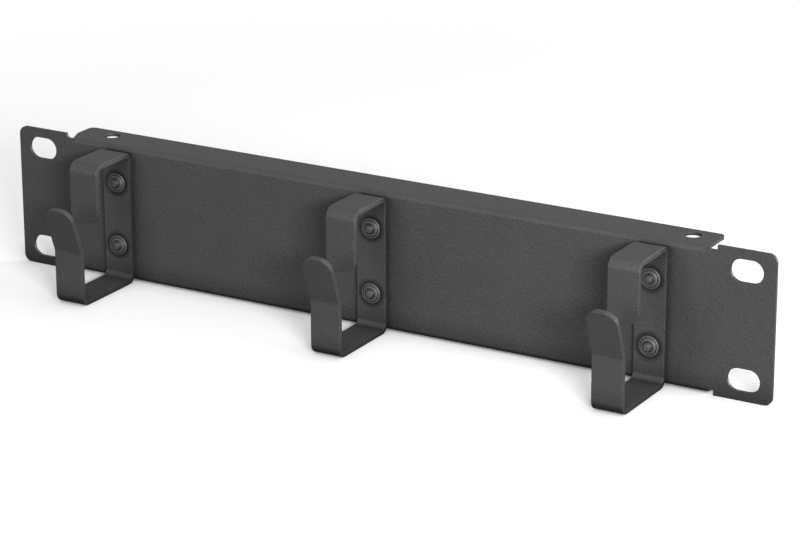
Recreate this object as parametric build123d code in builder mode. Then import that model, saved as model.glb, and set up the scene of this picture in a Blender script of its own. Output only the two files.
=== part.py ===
from build123d import *

import os
from math import cos, radians, sin

# Horizontal cable manager for a 10-inch rack, one unit high: a folded steel panel with two
# slotted ears carries three bent strip rings, each held by two blind rivets.
# Frame: X along the panel, +Y to the rear, +Z up. The origin is the middle of the four rack
# slots, on the ears' rear faces, which seat against the rack.

# Panel: one folded sheet with an ear at each end
panel_height = 44.0
panel_sheet = 1.0
panel_bend = 0.6
ear_width = 17.7
ear_corner = 2.5

# Rack slots in the ears
slot_spacing = 236.525
slot_pitch = 31.75
slot_end_distance = 8.7375
slot_length = 9.9
slot_width = 6.7

# Folded edges: how far each is in from the ears' edges, its flange, and the gaps beside the ears
top_step = 1.2
bottom_step = 0.4
flange_depth = 13.0
flange_corner = 1.8
top_left_gap = 0.35
top_right_gap = 3.25
bottom_gap = 1.8
relief_depth = 1.5

# The top flange's left end leans in towards its relief
lean = 1.75
lean_depth = 5.5

# Tie holes, one near each end of both flanges
tie_hole_diameter = 5.0
tie_hole_ear_distance = 11.3
tie_hole_inset = 4.7

# Rings: each a bent strip, open between its two front tabs
ring_ear_distance = 19.3
ring_width = 9.6
ring_sheet = 1.6
ring_bend = 1.6
ring_top_step = 0.9
upper_reach = 18.7
upper_tab_length = 18.3
upper_tab_corner = 3.5
lower_reach = 27.5
lower_tab_length = 16.8
flare_length = 15.2
flare_angle = 20.0
flare_bend = 3.0
flare_corner = 4.0

# Blind rivets, set so that they fill their holes
rivet_pitch = 20.0
rivet_diameter = 3.3
head_diameter = 6.4
head_edge = 0.4
head_height = 1.15
head_top_diameter = 3.2
tail_diameter = 4.8
tail_length = 2.4
mandrel_diameter = 1.8
mandrel_proud = 0.2
mandrel_head_diameter = 2.9
mandrel_head_length = 0.8

# Levels and places that follow from the sizes
front = -panel_sheet
panel_width = slot_spacing + 2 * slot_end_distance
ear_top = panel_height / 2
ear_inner = panel_width / 2 - ear_width
relief_floor = ear_top - relief_depth
section_top = ear_top - top_step
section_bottom = bottom_step - ear_top
section_middle = (section_top + section_bottom) / 2
panel_bend_outer = panel_bend + panel_sheet
flange_rear = front + flange_depth
ring_front = front - ring_sheet
head_front = ring_front - head_height
mandrel_front = head_front - mandrel_proud
mandrel_rear = tail_length + mandrel_head_length
ring_offset = ear_inner - ring_ear_distance
ring_bend_outer = ring_bend + ring_sheet
ring_places = {"left": -ring_offset, "middle": 0.0, "right": ring_offset}
rivet_levels = {"upper": section_middle + rivet_pitch / 2, "lower": section_middle - rivet_pitch / 2}

# Each folded edge: its level, which way is outwards, and the left ends of its flange and its
# bend, then their right end
top_left = top_left_gap - ear_inner
lean_end = top_left + lean
bottom_left = bottom_gap - ear_inner
folds = (
    (section_top, 1, top_left, lean_end, ear_inner - top_right_gap),
    (section_bottom, -1, bottom_left, bottom_left, -bottom_left),
)

with BuildPart() as panel:
    # Bend and flange of each folded edge, seen from the end
    for level, outwards, left, _, right in folds:
        with BuildSketch(Plane.YZ.offset(left)):
            with BuildLine():
                bend_start = (front, level - outwards * panel_bend_outer)
                bend = JernArc(bend_start, (0, outwards), panel_bend_outer, -90 * outwards)
                Line(bend @ 1, (flange_rear, level))
                offset(amount=panel_sheet, side=Side.RIGHT if outwards > 0 else Side.LEFT)
            make_face()
        extrude(amount=right - left)
    fillet(panel.edges().filter_by(Axis.Z).group_by(Axis.Y)[-1], radius=flange_corner)

    # The top flange's left end, cut back along its lean
    with BuildSketch(Plane.XY.offset(section_top)):
        with BuildLine():
            Polyline(
                (top_left, front),
                (lean_end, front),
                (lean_end, 0),
                (top_left, front + lean_depth),
                close=True,
            )
        make_face()
    extrude(amount=-panel_bend_outer, mode=Mode.SUBTRACT)

    # Tie holes through both flanges
    with BuildSketch(Plane.XY.offset(section_top)):
        with Locations((0, flange_rear - tie_hole_inset)):
            with GridLocations(2 * (ear_inner - tie_hole_ear_distance), 1, 2, 1):
                Circle(tie_hole_diameter / 2)
    extrude(amount=section_bottom - section_top, mode=Mode.SUBTRACT)

    # Face and ears, cut away where the reliefs and the bends are
    with BuildSketch(Plane.XZ) as face:
        RectangleRounded(panel_width, panel_height, ear_corner)
        for level, outwards, _, left, right in folds:
            beyond = Align.MIN if outwards > 0 else Align.MAX
            with Locations((0, outwards * relief_floor)):
                Rectangle(2 * ear_inner, panel_height, align=(Align.CENTER, beyond), mode=Mode.SUBTRACT)
            with Locations((left, level - outwards * panel_bend_outer)):
                Rectangle(right - left, panel_height, align=(Align.MIN, beyond), mode=Mode.SUBTRACT)
        round_relief = face.vertices().sort_by_distance((-ear_inner, relief_floor))[0]
        fillet(round_relief, radius=(ear_inner + lean_end) / 2)
        with GridLocations(slot_spacing, slot_pitch, 2, 2):
            SlotOverall(slot_length, slot_width, mode=Mode.SUBTRACT)
        with Locations((0, section_middle)):
            with GridLocations(ring_offset, rivet_pitch, len(ring_places), len(rivet_levels)):
                Circle(rivet_diameter / 2, mode=Mode.SUBTRACT)
    extrude(amount=panel_sheet)

with BuildPart() as ring:
    # Strip seen from the end, from the upper tab round the back to the flared lower tab
    ring_top = section_top - ring_top_step
    upper_front = front - upper_reach
    lower_front = front - lower_reach
    flare_start = lower_tab_length - ear_top
    flare_rise = flare_length * cos(radians(flare_angle))
    flare_reach = flare_length * sin(radians(flare_angle))
    with BuildSketch(Plane.YZ.offset(-ring_width / 2)):
        with BuildLine():
            FilletPolyline(
                (upper_front, ring_top - upper_tab_length),
                (upper_front, ring_top),
                (front, ring_top),
                (front, -ear_top),
                (lower_front, -ear_top),
                (lower_front, flare_start),
                (lower_front - flare_reach, flare_start + flare_rise),
                radius=[ring_bend_outer] * 4 + [flare_bend],
            )
            offset(amount=ring_sheet, side=Side.RIGHT)
        make_face()
    extrude(amount=ring_width)

    # Rounded tab ends: the flared one is further forward
    corners = ring.edges().filter_by(GeomType.LINE).group_by(SortBy.LENGTH)[0].sort_by(Axis.Y)
    fillet(corners[:2], radius=flare_corner)
    fillet(corners[2:], radius=upper_tab_corner)

    # Rivet holes through the back
    with BuildSketch(Plane.XZ.offset(-front)):
        with Locations((0, section_middle)):
            with GridLocations(1, rivet_pitch, 1, len(rivet_levels)):
                Circle(rivet_diameter / 2)
    extrude(amount=ring_sheet, mode=Mode.SUBTRACT)

# A set rivet's half-profile, radius along X and depth along Y, turned about the Y axis
with BuildPart() as rivet:
    with BuildSketch():
        with BuildLine():
            Polyline(
                (mandrel_diameter / 2, head_front),
                (head_top_diameter / 2, head_front),
                (head_diameter / 2, ring_front - head_edge),
                (head_diameter / 2, ring_front),
                (rivet_diameter / 2, ring_front),
                (rivet_diameter / 2, 0),
                (tail_diameter / 2, 0),
                (tail_diameter / 2, tail_length),
                (mandrel_diameter / 2, tail_length),
                close=True,
            )
        make_face()
    revolve(axis=Axis.Y)

# The rest of its mandrel, broken off just in front of the head
with BuildPart() as mandrel:
    with BuildSketch():
        with BuildLine():
            Polyline(
                (0, mandrel_front),
                (mandrel_diameter / 2, mandrel_front),
                (mandrel_diameter / 2, tail_length),
                (mandrel_head_diameter / 2, tail_length),
                (mandrel_head_diameter / 2, mandrel_rear),
                (0, mandrel_rear),
                close=True,
            )
        make_face()
    revolve(axis=Axis.Y)

os.makedirs("parts", exist_ok=True)

panel.part.label = "panel"
export_step(panel.part, "parts/panel.step")

for place, x in ring_places.items():
    with BuildPart() as placed_ring:
        with Locations((x, 0, 0)):
            add(ring.part)
    placed_ring.part.label = f"ring_{place}"
    export_step(placed_ring.part, f"parts/ring_{place}.step")

    for level_name, z in rivet_levels.items():
        with BuildPart() as placed_rivet:
            with Locations((x, 0, z)):
                add(rivet.part)
        placed_rivet.part.label = f"rivet_{place}_{level_name}"
        export_step(placed_rivet.part, f"parts/rivet_{place}_{level_name}.step")

        with BuildPart() as placed_mandrel:
            with Locations((x, 0, z)):
                add(mandrel.part)
        placed_mandrel.part.label = f"mandrel_{place}_{level_name}"
        export_step(placed_mandrel.part, f"parts/mandrel_{place}_{level_name}.step")
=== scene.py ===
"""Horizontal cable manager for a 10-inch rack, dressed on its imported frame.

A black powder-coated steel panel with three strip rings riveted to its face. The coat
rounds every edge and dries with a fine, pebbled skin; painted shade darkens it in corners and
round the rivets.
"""

from math import cos, radians, sin, tau

import bmesh
import bpy
from mathutils import Matrix, Vector


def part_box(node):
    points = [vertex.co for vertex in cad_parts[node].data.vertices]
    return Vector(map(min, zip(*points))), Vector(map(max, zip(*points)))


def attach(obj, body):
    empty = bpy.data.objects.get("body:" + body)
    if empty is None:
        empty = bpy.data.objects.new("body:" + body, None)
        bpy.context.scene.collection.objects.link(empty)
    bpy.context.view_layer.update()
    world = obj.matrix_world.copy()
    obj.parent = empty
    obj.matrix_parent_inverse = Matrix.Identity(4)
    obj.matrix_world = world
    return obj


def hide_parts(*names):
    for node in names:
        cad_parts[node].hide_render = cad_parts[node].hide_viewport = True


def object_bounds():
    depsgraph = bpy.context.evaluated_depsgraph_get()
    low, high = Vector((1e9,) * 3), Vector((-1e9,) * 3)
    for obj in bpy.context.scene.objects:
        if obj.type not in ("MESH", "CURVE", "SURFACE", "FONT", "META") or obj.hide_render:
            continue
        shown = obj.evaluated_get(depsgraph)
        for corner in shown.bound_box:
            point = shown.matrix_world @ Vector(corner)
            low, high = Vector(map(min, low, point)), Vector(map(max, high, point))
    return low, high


MM = 0.001

# Where the rings are, and the two rivets of each
RING_PLACES = ("left", "middle", "right")
RIVET_LEVELS = ("upper", "lower")

# Edges as the coat leaves them
SOFTNESS = 0.16 * MM
SOFT_SEGMENTS = 3
SHARP_ANGLE = radians(35)

# Points closer than this are joined, and faces that meet at less than this angle become one
WELD_DISTANCE = 0.002 * MM
FLAT_ANGLE = radians(0.6)

# Half-profile of a set rivet in millimetres, from the mandrel's hole out to the rim and back
# along its tail: radius, and depth from the ring's front face or from the panel's rear face
HEAD_PROFILE = (
    # Lip round the mandrel
    (0.90, -1.17), (1.15, -1.14), (1.34, -1.05), (1.46, -0.88), (1.52, -0.70),
    # Crown
    (1.62, -0.67), (1.78, -0.75), (1.98, -0.71), (2.22, -0.58), (2.42, -0.40),
    # Groove and sloped rim
    (2.52, -0.30), (2.60, -0.35), (2.70, -0.46), (2.84, -0.42), (3.00, -0.31), (3.13, -0.18),
    # Edge and seat on the ring
    (3.20, -0.05), (3.20, 0.00), (1.65, 0.00),
)
TAIL_PROFILE = (
    # Seat on the panel and side
    (1.65, 0.00), (2.28, 0.00), (2.40, 0.20), (2.40, 1.70),
    # Rounded end
    (2.26, 2.12), (1.94, 2.36), (1.60, 2.40), (0.90, 2.40),
)

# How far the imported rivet's head stands out from its seat on the ring
HEAD_HEIGHT = 1.15 * MM

# The mandrel left in a rivet, measured alike: its broken end in the head and its own head
# behind the tail
MANDREL_FRONT = ((0.00, -1.35), (0.36, -1.33), (0.66, -1.27), (0.90, -1.17))
MANDREL_REAR = (
    # Underside and side
    (0.90, 2.40), (1.34, 2.42), (1.45, 2.54), (1.45, 2.94),
    # Rounded end
    (1.24, 3.12), (0.78, 3.19), (0.00, 3.20),
)

# Steps in a full turn of a profile
TURN_STEPS = 32

# Coats: colour, size of the pebbles, height of the relief and roughness
SHEET_COAT = ((0.043, 0.043, 0.0438), 0.7 * MM, 0.13 * MM, 0.5)
# The rivets wear the sheets' paint, its colour made lighter so that their heads read brighter: painted light
RIVET_COAT = ((0.068, 0.068, 0.069), 0.6 * MM, 0.04 * MM, 0.52)
COAT_GLOSS = 0.52

# Noises in a coat: size, counted in pebbles, and detail
PEBBLES = (1.0, 1.5)
SPECKS = (0.35, 1.0)
RIPPLE = (7.0, 2.0)
CLOUDS = (45.0, 3.0)
NOISE_ROUGHNESS = 0.55

# What they add to the relief, where the pebbles count as 1, to the tone and to the roughness
SPECK_RELIEF = 0.3
RIPPLE_RELIEF = 0.65
LEAST_TONE = 0.62
PEBBLE_TONE = 0.38
SPECK_TONE = 0.1
CLOUD_TONE = 0.28
ROUGHNESS_SPREAD = 0.1

# Painted shade: the coat's colour is made darker in corners, as far as they reach, and in circles
# round each rivet, given by their distance from the middle of its seat and by how far each one fades
CORNER_SHADE_REACH = 8.0 * MM
CORNER_SHADE_SAMPLES = 6
CORNER_SHADE_POWER = 1.5
# Painted shade circles: a dark halo on the ring round each head, and dark grooves and edge on the head
RING_SHADE_CIRCLES = ((3.1 * MM, 2.1 * MM),)
RIVET_SHADE_CIRCLES = ((1.72 * MM, 0.2 * MM), (2.54 * MM, 0.2 * MM), (3.3 * MM, 0.3 * MM))
PAINTED_SHADE_TONE = 0.15

# Floor: its size in metres, and its paint as the camera sees it and as the part does
FLOOR_SIZE = 6.0
FLOOR_PAINT = 0.97
FLOOR_BOUNCE = 0.15

# Share of plain white in the floor: the least, and the distances in metres between which it rises
# to the whole
WHITE_SHARE = 0.12
WHITE_START = 0.15
WHITE_END = 0.4

# Shade on the floor close to the part
CONTACT_REACH = 8.0 * MM
CONTACT_SAMPLES = 8
CONTACT_POWER = 0.3

# Light: the world's strength on the part, then each lamp's azimuth and elevation in degrees, its
# distance, width and height in metres, and its power in watts
WORLD_STRENGTH = 0.4
LAMPS = {
    "key_box": (43, 17, 0.95, (0.3, 0.14), 10.2),
    "top_box": (50, 68, 1.5, (1.2, 1.2), 7.4),
    "fill_box": (-15, 14, 1.1, (0.3, 0.3), 2.0),
    "side_box": (88, 12, 1.2, (0.4, 0.3), 6.0),
    "back_box": (140, 10, 1.3, (0.8, 0.4), 12.0),
}

# Camera, from the photograph's perspective, with its angles in degrees
CAMERA_AZIMUTH = 30.23
CAMERA_ELEVATION = 18.88
CAMERA_ROLL = 0.19
CAMERA_DISTANCE = 911.55 * MM
CAMERA_AIM = Vector((7.06, 2.17, -2.38)) * MM
CAMERA_LENS = 140.5
CAMERA_CLIP = 10 * MM
SENSOR_WIDTH = 36.0


def feed(tree, socket, item):
    """Links a node's input to a Value, or sets it to a number, vector or colour."""
    if isinstance(item, Value):
        tree.links.new(item.socket, socket)
    else:
        socket.default_value = item


class Value:
    """A shader socket: arithmetic on it adds Math nodes."""

    def __init__(self, tree, socket):
        self.tree = tree
        self.socket = socket

    def maths(self, operation, first, second):
        node = self.tree.nodes.new("ShaderNodeMath")
        node.operation = operation
        feed(self.tree, node.inputs[0], first)
        feed(self.tree, node.inputs[1], second)
        return Value(self.tree, node.outputs[0])

    def __add__(self, other):
        return self.maths("ADD", self, other)

    def __radd__(self, other):
        return self.maths("ADD", other, self)

    def __sub__(self, other):
        return self.maths("SUBTRACT", self, other)

    def __rsub__(self, other):
        return self.maths("SUBTRACT", other, self)

    def __mul__(self, other):
        return self.maths("MULTIPLY", self, other)

    def __rmul__(self, other):
        return self.maths("MULTIPLY", other, self)

    def __pow__(self, other):
        return self.maths("POWER", self, other)

    def __rpow__(self, other):
        return self.maths("POWER", other, self)

    def __abs__(self):
        return self.maths("ABSOLUTE", self, 0.0)


class Shader:
    """The node tree of a material or of the world."""

    def __init__(self, owner):
        owner.use_nodes = True
        self.tree = owner.node_tree
        self.tree.nodes.clear()

    def node(self, kind, settings=None, inputs=None, output=0):
        """Adds a node, its settings first, then the values or links of its sockets."""
        node = self.tree.nodes.new(kind)
        for name, setting in (settings or {}).items():
            setattr(node, name, setting)
        for name, item in (inputs or {}).items():
            feed(self.tree, node.inputs[name], item)
        return Value(self.tree, node.outputs[output]) if node.outputs else None

    def openness(self, reach, samples):
        """1 in the open, and less where other surfaces within reach close a place in."""
        return self.node("ShaderNodeAmbientOcclusion", {"samples": samples}, {"Distance": reach}, "AO")

    def smooth_rise(self, value, start, end, least):
        """Rises smoothly from the least to 1 while a value goes from start to end."""
        ends = {"Value": value, "From Min": start, "From Max": end, "To Min": least, "To Max": 1.0}
        return self.node("ShaderNodeMapRange", {"interpolation_type": "SMOOTHSTEP"}, ends)


def grey(level):
    """The colour that is a grey of one level."""
    return (level, level, level, 1)


def coat_material(name, coat, seats=(), shade_circles=()):
    """Fine-textured black powder coat: pebbles and specks over a slow ripple and pale clouds.

    Painted shade makes it darker in corners and dark in circles round each of the rivets' seats.
    """
    colour, grain, relief, roughness = coat
    material = bpy.data.materials.new(name)
    shader = Shader(material)
    place = shader.node("ShaderNodeTexCoord", output="Object")

    def noise(size, detail):
        scale = 1 / (grain * size)
        inputs = {"Vector": place, "Scale": scale, "Detail": detail, "Roughness": NOISE_ROUGHNESS}
        return shader.node("ShaderNodeTexNoise", None, inputs, "Fac")

    pebbles = noise(*PEBBLES)
    specks = noise(*SPECKS)
    ripple = noise(*RIPPLE)
    clouds = noise(*CLOUDS)
    height = pebbles + specks * SPECK_RELIEF + ripple * RIPPLE_RELIEF
    tone_and_shade = LEAST_TONE + pebbles * PEBBLE_TONE + specks * SPECK_TONE + clouds * CLOUD_TONE
    # Painted shade in corners, from ambient occlusion within reach
    tone_and_shade = tone_and_shade * shader.openness(CORNER_SHADE_REACH, CORNER_SHADE_SAMPLES) ** CORNER_SHADE_POWER
    # Painted shade: dark circles round each rivet's seat, a halo on the ring and grooves on the head
    for seat in seats:
        radius = shader.node("ShaderNodeVectorMath", {"operation": "DISTANCE"}, {0: place, 1: seat}, "Value")
        for shade_radius, fade in shade_circles:
            tone_and_shade = tone_and_shade * shader.smooth_rise(abs(radius - shade_radius), 0.0, fade, PAINTED_SHADE_TONE)
    shade = shader.node("ShaderNodeCombineColor", None, {"Red": tone_and_shade, "Green": tone_and_shade, "Blue": tone_and_shade})
    look = {
        "Base Color": shader.node("ShaderNodeVectorMath", {"operation": "MULTIPLY"}, {0: shade, 1: colour}),
        "Roughness": roughness + (specks + clouds - 1.0) * ROUGHNESS_SPREAD,
        "Specular IOR Level": COAT_GLOSS,
        "Normal": shader.node("ShaderNodeBump", None, {"Height": height, "Distance": relief}),
    }
    surface = shader.node("ShaderNodeBsdfPrincipled", None, look)
    shader.node("ShaderNodeOutputMaterial", None, {"Surface": surface})
    return material


def floor_material():
    """White floor: the camera sees it lit near the part and plain white further away.

    The part sees a darker one, so that little light comes up from it.
    """
    material = bpy.data.materials.new("white_floor")
    shader = Shader(material)
    seen = shader.node("ShaderNodeLightPath", output="Is Camera Ray")
    place = shader.node("ShaderNodeTexCoord", output="Object")
    distance = shader.node("ShaderNodeVectorMath", {"operation": "LENGTH"}, {0: place}, "Value")
    plain = shader.smooth_rise(distance, WHITE_START, WHITE_END, WHITE_SHARE)
    contact = shader.openness(CONTACT_REACH, CONTACT_SAMPLES) ** CONTACT_POWER
    bounce = shader.node("ShaderNodeBsdfDiffuse", None, {"Color": grey(FLOOR_BOUNCE)})
    paint = shader.node("ShaderNodeBsdfDiffuse", None, {"Color": grey(FLOOR_PAINT)})
    white = shader.node("ShaderNodeEmission", None, {"Color": grey(1), "Strength": 1.0})
    lit = shader.node("ShaderNodeMixShader", None, {0: seen * contact, 1: bounce, 2: paint})
    surface = shader.node("ShaderNodeMixShader", None, {0: seen * plain, 1: lit, 2: white})
    shader.node("ShaderNodeOutputMaterial", None, {"Surface": surface})
    return material


def add_piece(node, body, material):
    """Turns a finished bmesh into the piece that stands for a frame node."""
    name = f"{node}_coated"
    for face in body.faces:
        face.smooth = True
    mesh = bpy.data.meshes.new(name)
    body.to_mesh(mesh)
    body.free()
    mesh.materials.append(material)
    piece = bpy.data.objects.new(name, mesh)
    bpy.context.scene.collection.objects.link(piece)
    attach(piece, "root")
    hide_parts(node)
    return piece


def softened(node):
    """A frame node's form with its sharp edges rounded, as the coat leaves them."""
    body = bmesh.new()
    body.from_mesh(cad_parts[node].data)
    bmesh.ops.remove_doubles(body, verts=body.verts, dist=WELD_DISTANCE)
    bmesh.ops.dissolve_limit(body, angle_limit=FLAT_ANGLE, verts=body.verts, edges=body.edges)
    sharp = [edge for edge in body.edges if edge.calc_face_angle() > SHARP_ANGLE]
    bmesh.ops.bevel(
        body,
        geom=sharp,
        affect="EDGES",
        offset=SOFTNESS,
        offset_type="OFFSET",
        segments=SOFT_SEGMENTS,
        profile=0.5,
        clamp_overlap=True,
        material=-1,
    )
    return body


def turned(front_end, rear_end, seat, closed):
    """Spins a half-profile, made of its front and rear ends, about a rivet's axis.

    The front end's depths count from the rivet's seat, the rear end's from the panel's rear.
    """
    outline = [(radius * MM, seat[1] + depth * MM) for radius, depth in front_end]
    outline += [(radius * MM, depth * MM) for radius, depth in rear_end]
    body = bmesh.new()
    corners = [body.verts.new((seat[0] + radius, depth, seat[2])) for radius, depth in outline]
    ends = zip(corners, corners[1:] + corners[:1]) if closed else zip(corners, corners[1:])
    edges = [body.edges.new(pair) for pair in ends]
    bmesh.ops.spin(
        body,
        geom=corners + edges,
        cent=(seat[0], 0, seat[2]),
        axis=(0, 1, 0),
        angle=tau,
        steps=TURN_STEPS,
        use_merge=True,
    )
    bmesh.ops.remove_doubles(body, verts=body.verts, dist=WELD_DISTANCE)
    bmesh.ops.recalc_face_normals(body, faces=body.faces)
    return body


def add_sheet(node, coat):
    """The panel or a ring: bent sheet, so its wide faces are shaded flat."""
    piece = add_piece(node, softened(node), coat)
    piece.modifiers.new("even_shading", "WEIGHTED_NORMAL")


def add_rivet(place, level, coat):
    """A set rivet, and the mandrel left in it."""
    rivet = f"rivet_{place}_{level}"
    mandrel = f"mandrel_{place}_{level}"
    seat = seats[rivet]
    add_piece(rivet, turned(HEAD_PROFILE, TAIL_PROFILE, seat, closed=True), coat)
    add_piece(mandrel, turned(MANDREL_FRONT, MANDREL_REAR, seat, closed=False), coat)


def seat_of(node):
    """The middle of a rivet's seat on its ring."""
    low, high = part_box(node)
    return ((low[0] + high[0]) / 2, low[1] + HEAD_HEIGHT, (low[2] + high[2]) / 2)


def direction(azimuth, elevation):
    """Unit vector from the part, in degrees: azimuth from straight in front to its right end."""
    turn = radians(azimuth)
    rise = radians(elevation)
    return Vector((sin(turn) * cos(rise), -cos(turn) * cos(rise), sin(rise)))


def lay_floor():
    """The floor, at the part's lowest level."""
    bpy.ops.mesh.primitive_plane_add(size=FLOOR_SIZE, location=(0, 0, cad_box[0][2]))
    floor = bpy.context.object
    floor.name = "floor"
    floor.data.materials.append(floor_material())


def place_camera():
    """The photograph's camera, rolled a little about its line of sight."""
    data = bpy.data.cameras.new("camera")
    data.lens = CAMERA_LENS
    data.sensor_width = SENSOR_WIDTH
    data.clip_start = CAMERA_CLIP
    camera = bpy.data.objects.new("camera", data)
    bpy.context.scene.collection.objects.link(camera)
    outwards = direction(CAMERA_AZIMUTH, CAMERA_ELEVATION)
    camera.location = CAMERA_AIM + outwards * CAMERA_DISTANCE
    roll = Matrix.Rotation(-radians(CAMERA_ROLL), 3, "Z")
    camera.rotation_euler = (outwards.to_track_quat("Z", "Y").to_matrix() @ roll).to_euler()
    bpy.context.scene.camera = camera


def hang_lamp(name, azimuth, elevation, distance, size, power):
    """A soft box, turned to the part."""
    light = bpy.data.lights.new(name, "AREA")
    light.shape = "RECTANGLE"
    light.size, light.size_y = size
    light.energy = power
    lamp = bpy.data.objects.new(name, light)
    towards = direction(azimuth, elevation)
    lamp.location = towards * distance
    lamp.rotation_euler = towards.to_track_quat("Z", "Y").to_euler()
    bpy.context.scene.collection.objects.link(lamp)


def light_world():
    """A world that is white to the camera and dimmer to the part."""
    world = bpy.data.worlds.new("studio")
    bpy.context.scene.world = world
    studio = Shader(world)
    seen = studio.node("ShaderNodeLightPath", output="Is Camera Ray")
    strength = seen * (1 - WORLD_STRENGTH) + WORLD_STRENGTH
    light = studio.node("ShaderNodeBackground", None, {"Color": grey(1), "Strength": strength})
    studio.node("ShaderNodeOutputWorld", None, {"Surface": light})


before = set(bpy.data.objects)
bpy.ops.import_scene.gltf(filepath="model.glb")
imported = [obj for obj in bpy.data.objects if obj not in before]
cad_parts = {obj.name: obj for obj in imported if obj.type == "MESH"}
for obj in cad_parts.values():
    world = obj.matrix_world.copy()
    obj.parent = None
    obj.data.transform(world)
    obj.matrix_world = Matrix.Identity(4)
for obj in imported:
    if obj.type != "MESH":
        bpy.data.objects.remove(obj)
cad_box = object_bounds()

# Coats
seats = {node: seat_of(node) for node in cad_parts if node.startswith("rivet_")}
panel_coat = coat_material("panel_coat", SHEET_COAT)
ring_coat = coat_material("ring_coat", SHEET_COAT, seats.values(), RING_SHADE_CIRCLES)
rivet_coat = coat_material("rivet_coat", RIVET_COAT, seats.values(), RIVET_SHADE_CIRCLES)

# The cable manager
add_sheet("panel", panel_coat)
for place in RING_PLACES:
    add_sheet(f"ring_{place}", ring_coat)
    for level in RIVET_LEVELS:
        add_rivet(place, level, rivet_coat)

# The studio
lay_floor()
place_camera()
for name, settings in LAMPS.items():
    hang_lamp(name, *settings)
light_world()
bpy.context.scene.view_settings.view_transform = "Standard"
